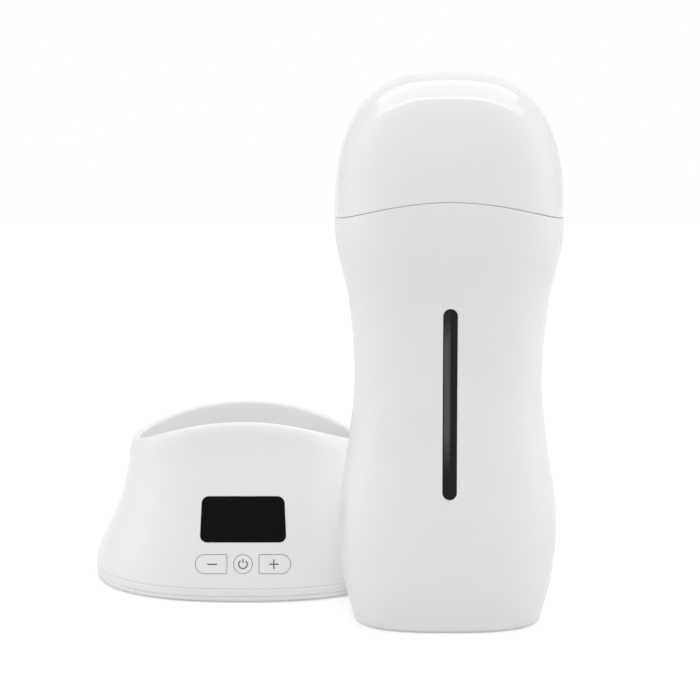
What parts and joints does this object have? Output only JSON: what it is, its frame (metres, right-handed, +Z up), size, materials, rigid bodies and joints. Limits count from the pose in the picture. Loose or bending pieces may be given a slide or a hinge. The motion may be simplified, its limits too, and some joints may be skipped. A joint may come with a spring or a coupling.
{
  "type": "roll on wax heater",
  "caption": "Hand-held roll-on wax cartridge heater with a domed cap and a window slot, with the dock that heats it, which has a pocket, a display and push buttons.",
  "frame": {"origin": "on the table, at the middle of the floor area that the dock and the standing heater cover together", "axes": "+Z up; the display and the window face -Y; the dock is at the back on the -X side and the heater in front on the +X side"},
  "size_m": [0.1696, 0.1357, 0.195],
  "materials": {
    "dock_white": "semi-gloss moulded",
    "base_white": "satin moulded",
    "rubber_grey": "matt",
    "screw_steel": "zinc plated",
    "display_black": "high gloss",
    "black_plastic": "matt",
    "circuit_board": "solder mask",
    "button_white": "satin",
    "contact_brass": "gold plated",
    "spring_steel": "bright",
    "component_blue": "sleeved",
    "heater_white": "semi-gloss moulded",
    "window_smoke": "smoked, glossy",
    "collar_white": "satin",
    "chamber_aluminium": "satin",
    "mat_silicone": "matt",
    "thermostat_brown": "matt",
    "fuse_white": "glazed",
    "cap_white": "high gloss moulded",
    "tank_clear": "translucent",
    "wax_honey": "waxy",
    "roller_head_white": "satin",
    "roller_grey": "smooth"
  },
  "bodies": {
    "dock": {"dock_shell": "dock_white", "base_plate": "base_white", "feet": "rubber_grey", "base_screws": "screw_steel", "display_lens": "display_black", "display_module": "black_plastic", "control_board": "circuit_board", "tact_switches": "black_plastic", "contact_block": "black_plastic", "pin_spring_left": "spring_steel", "pin_spring_right": "spring_steel", "power_inlet": "black_plastic", "inlet_pins": "spring_steel", "power_board": "circuit_board", "power_parts": "component_blue"},
    "button_minus": {"button_minus": "button_white"},
    "button_power": {"button_power": "button_white"},
    "button_plus": {"button_plus": "button_white"},
    "contact_pin_left": {"contact_pin_left": "contact_brass"},
    "contact_pin_right": {"contact_pin_right": "contact_brass"},
    "heater": {"front_shell": "heater_white", "rear_shell": "heater_white", "bottom_cover": "base_white", "cover_screws": "screw_steel", "window_lens": "window_smoke", "collar": "collar_white", "heating_chamber": "chamber_aluminium", "heating_mats": "mat_silicone", "thermostat": "thermostat_brown", "thermal_fuse": "fuse_white", "contact_pads": "contact_brass"},
    "cap": {"cap": "cap_white"},
    "cartridge": {"tank": "tank_clear", "wax": "wax_honey", "roller_head": "roller_head_white"},
    "roller": {"roller": "roller_grey"}
  },
  "joints": [
    {"name": "heater_lift", "type": "slide", "parent": "dock", "child": "heater", "axis": [0, 0, 1], "range_m": [0, 0.08]},
    {"name": "cartridge_lift", "type": "slide", "parent": "heater", "child": "cartridge", "axis": [0, 0, 1], "range_m": [0, 0.14]},
    {"name": "cap_lift", "type": "slide", "parent": "cartridge", "child": "cap", "axis": [0, 0, 1], "range_m": [0, 0.05]},
    {"name": "roller_spin", "type": "hinge", "parent": "cartridge", "child": "roller", "pos_m": [0.0447, -0.03935, 0.16476], "axis": [1, 0, 0], "continuous": true},
    {"name": "button_minus_press", "type": "slide", "parent": "dock", "child": "button_minus", "axis": [0, 0.9649, -0.2627], "range_m": [0, 0.0005], "stiffness_N_per_m": 600},
    {"name": "button_power_press", "type": "slide", "parent": "dock", "child": "button_power", "axis": [0, 0.9649, -0.2627], "range_m": [0, 0.0005], "stiffness_N_per_m": 600},
    {"name": "button_plus_press", "type": "slide", "parent": "dock", "child": "button_plus", "axis": [0, 0.9649, -0.2627], "range_m": [0, 0.0005], "stiffness_N_per_m": 600},
    {"name": "contact_pin_left_press", "type": "slide", "parent": "dock", "child": "contact_pin_left", "axis": [0, 0, -1], "range_m": [0, 0.0012], "stiffness_N_per_m": 500, "deforming": ["pin_spring_left"]},
    {"name": "contact_pin_right_press", "type": "slide", "parent": "dock", "child": "contact_pin_right", "axis": [0, 0, -1], "range_m": [0, 0.0012], "stiffness_N_per_m": 500, "deforming": ["pin_spring_right"]}
  ]
}
